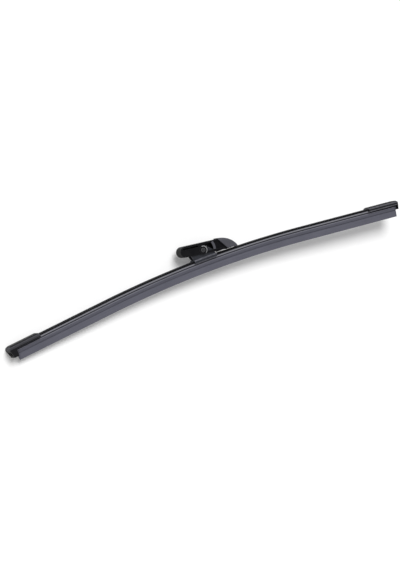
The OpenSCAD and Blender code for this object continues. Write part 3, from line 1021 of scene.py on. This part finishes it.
# %% [markdown]
# The hood's outside is that surface, and a second one, a wall further in, is its
# inside. Rims join the two, so that the mesh is closed. The points are turned
# by the adapter's tilt as the mesh is made. The back looks darker than the
# sides, so the faces that look up carry most of the mark for painted shade.

# %% Hood
TAIL_SHARE = 0.99
HOOD_EDGE = 0.2 * MM
UPWARDS, TOP_PAINTED_SHADE = 0.8, 0.8


def tilted(points):
    """Turns points from the adapter's frame to the blade's, by the tilt about the pin."""
    u, y, w = np.moveaxis(points, -1, 0)
    x = u * math.cos(TILT) + w * math.sin(TILT)
    z = w * math.cos(TILT) - u * math.sin(TILT)
    return np.stack([x, y, z], axis=-1)


def mark_top(work):
    """Gives most of the mark for painted shade to the faces that look up."""
    mark = work.faces.layers.float.new("painted_shade")
    for face in work.faces:
        if face.normal.z > UPWARDS:
            face[mark] = TOP_PAINTED_SHADE


def rounded_form(name, points, faces, width, marks=None):
    """A closed mesh of points in the adapter's frame, turned outwards, with its sharp edges rounded."""
    mesh = bpy.data.meshes.new(name)
    mesh.from_pydata(tilted(points).reshape(-1, 3).tolist(), [], faces)
    work = bmesh.new()
    work.from_mesh(mesh)
    bmesh.ops.recalc_face_normals(work, faces=work.faces)
    round_edges(work, width, SHARP_CURVED)
    if marks:
        marks(work)
    return mesh_object(name, mesh, work)


def make_hood():
    """Outer and inner surface, joined along the front, both feet and the tail."""
    tail = HOOD_X + (HOOD_TAIL_X - HOOD_X) * TAIL_SHARE
    outer = hood_surface(tail, 0)
    inner = hood_surface(HOOD_TAIL_X - HOOD_WALL, HOOD_WALL)
    rows, columns = outer.shape[:2]
    count = rows * columns
    skin = grid_faces(rows, columns, False)
    front = np.arange(columns)
    last = np.arange(count - columns, count)
    left = np.arange(rows) * columns
    right = left + columns - 1
    faces = skin.tolist() + (skin + count)[:, ::-1].tolist()
    for line in (front, left, right):
        faces += np.stack([line[:-1], line[1:], line[1:] + count, line[:-1] + count], axis=-1).tolist()
    faces += [last.tolist(), (last + count)[::-1].tolist(),
              [int(corner) for corner in (last[0], last[-1], last[-1] + count, last[0] + count)]]
    points = np.concatenate([outer.reshape(-1, 3), inner.reshape(-1, 3)])
    return rounded_form("smooth_hood", points, faces, HOOD_EDGE, mark_top)


dress(make_hood(), HOOD, "adapter_hood")

# %% [markdown]
# Between the bracket and the hood the adapter's side walls reach down close to
# the blade, and under the hood a block fills the space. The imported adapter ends
# at one level there, so three plain pieces carry it on. Each has a level top
# inside the adapter, and a lower edge that keeps one gap to the rubber's lip.

# %% Lower edge of the adapter
BRACKET_LEN, ADAPTER_WALL, SKIRT_H = 21.4 * MM, 1.4 * MM, 3 * MM
SKIRT_FROM = BRACKET_LEN / 2 + 0.9 * MM
SKIRT_TO = HOOD_X + HOOD_LEAN - 0.2 * MM
SKIRT_GAP, BLOCK_GAP, SEATED = 1.2 * MM, 0.5 * MM, 0.8 * MM
BLOCK_REACH, BLOCK_RISE = 5 * MM, 2 * MM
SKIRT_EDGE = 0.15 * MM
COLUMNS = 24


def above_blade(u, gap):
    """Height in the adapter's frame that keeps a gap above the rubber's upper lip, at u along the adapter."""
    x = u * math.cos(TILT)
    lip = np.sqrt(ARCH_R ** 2 - x ** 2) - ARCH_R - PIVOT_H + HEAD_LIP_T
    return (lip + gap + u * math.sin(TILT)) / math.cos(TILT)


def lower_edge(name, start, end, gap, high, y_from, y_to):
    """A bar from start to end along the adapter, of rectangular section, down to the gap over the blade."""
    u = np.linspace(start, end, COLUMNS)[:, None]
    low = above_blade(u, gap)
    y = np.array([[y_from, y_to, y_to, y_from]]) + 0 * u
    w = np.concatenate([high + 0 * low, high + 0 * low, low, low], axis=1)
    faces = grid_faces(COLUMNS, 4, True).tolist() + [[0, 1, 2, 3], [4 * COLUMNS - 1 - k for k in range(4)]]
    piece = rounded_form(name, np.stack([u + 0 * y, y, w], axis=-1), faces, SKIRT_EDGE)
    piece.data.materials.append(ADAPTER)
    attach(piece, body_of["arm_adapter"])


for name, side in (("front_skirt", -1), ("rear_skirt", 1)):
    edges = sorted((side * ADAPTER_W / 2, side * (ADAPTER_W / 2 - ADAPTER_WALL)))
    lower_edge(name, SKIRT_FROM, SKIRT_TO, SKIRT_GAP, -SKIRT_H + SEATED, *edges)
block_y = HOOD_TAIL_Y - HOOD_WALL
lower_edge("hood_block", SKIRT_TO - SEATED, SKIRT_TO + BLOCK_REACH, BLOCK_GAP, hood_foot() + BLOCK_RISE,
           -block_y, block_y)
print("skirt from", round(SKIRT_FROM / MM, 1), "to", round(SKIRT_TO / MM, 1), "mm along the adapter")

# %% [markdown]
# Two raised forms on the adapter's side walls carry painted light: a bead round
# the right of the pin's eye, which thins out at both ends and is coloured as a
# painted highlight, and a flat arched rib behind the window, which takes the
# hood's lighter grey. Both are profiles carried along an arc about the pin.

# %% Bead and arched rib
EYE_R, EYE_PROUD = 3.5 * MM, 0.5 * MM
BEAD_R, BEAD_TURN = 0.42 * MM, (math.radians(125), math.radians(-75))
BEAD_SIDES = 16
BEAD_PATH_R = EYE_R - BEAD_R / 2
RIB_R, RIB_W, RIB_PROUD = 10.6 * MM, 2.2 * MM, 0.2 * MM
RIB_TURN = (math.radians(30), math.radians(-7))
RIB_EASE, RIB_EASE_STEPS = 0.12 * MM, 2
ARC_STEPS = 40
THIN_END = 0.02


def along_arc(name, outline, radius, turn, y, side, taper, material):
    """Carries an outline (out from the pin, across) along an arc about the pin, on one side of the adapter.

    The place at each angle is the radius plus the outline's first coordinate, in the adapter's frame. Where
    it tapers, the outline shrinks with the square root of the sine from the arc's middle to its ends.
    """
    angle = np.linspace(turn[0], turn[1], ARC_STEPS)[:, None]
    share = np.linspace(THIN_END, 1 - THIN_END, ARC_STEPS)[:, None]
    size = np.sqrt(np.sin(share * math.pi)) if taper else np.ones_like(share)
    reach = radius + outline[None, :, 0] * size
    across = side * (y + outline[None, :, 1] * size)
    points = tilted(np.stack([reach * np.cos(angle), across, reach * np.sin(angle)], axis=-1))
    columns = len(outline)
    faces = grid_faces(ARC_STEPS, columns, True).tolist()
    faces += [list(range(columns)), list(range((ARC_STEPS - 1) * columns, ARC_STEPS * columns))[::-1]]
    mesh = bpy.data.meshes.new(name)
    mesh.from_pydata(points.reshape(-1, 3).tolist(), [], faces)
    piece = finish_strip(name, mesh)
    mesh.materials.append(material)
    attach(piece, body_of["arm_adapter"])


turns = np.linspace(0, 2 * math.pi, BEAD_SIDES, endpoint=False)
round_section = BEAD_R * np.stack([np.cos(turns), np.sin(turns)], axis=-1)
rib_section = eased([(-RIB_W / 2, -RIB_PROUD), (RIB_W / 2, -RIB_PROUD), (RIB_W / 2, RIB_PROUD),
                     (-RIB_W / 2, RIB_PROUD)], RIB_EASE, RIB_EASE_STEPS)
for label, side in (("front", -1), ("rear", 1)):
    along_arc(label + "_eye_highlight_bead", round_section, BEAD_PATH_R, BEAD_TURN,
              ADAPTER_W / 2 + EYE_PROUD - BEAD_R / 2, side, True, BEAD_HIGHLIGHT)
    # The rib takes the hood's lighter grey: painted light on the adapter's black side wall.
    along_arc(label + "_arched_rib", rib_section, RIB_R, RIB_TURN, ADAPTER_W / 2, side, False, HOOD)
print("bead on a circle of", round(BEAD_PATH_R / MM, 2), "mm, rib on one of", round(RIB_R / MM, 1), "mm")
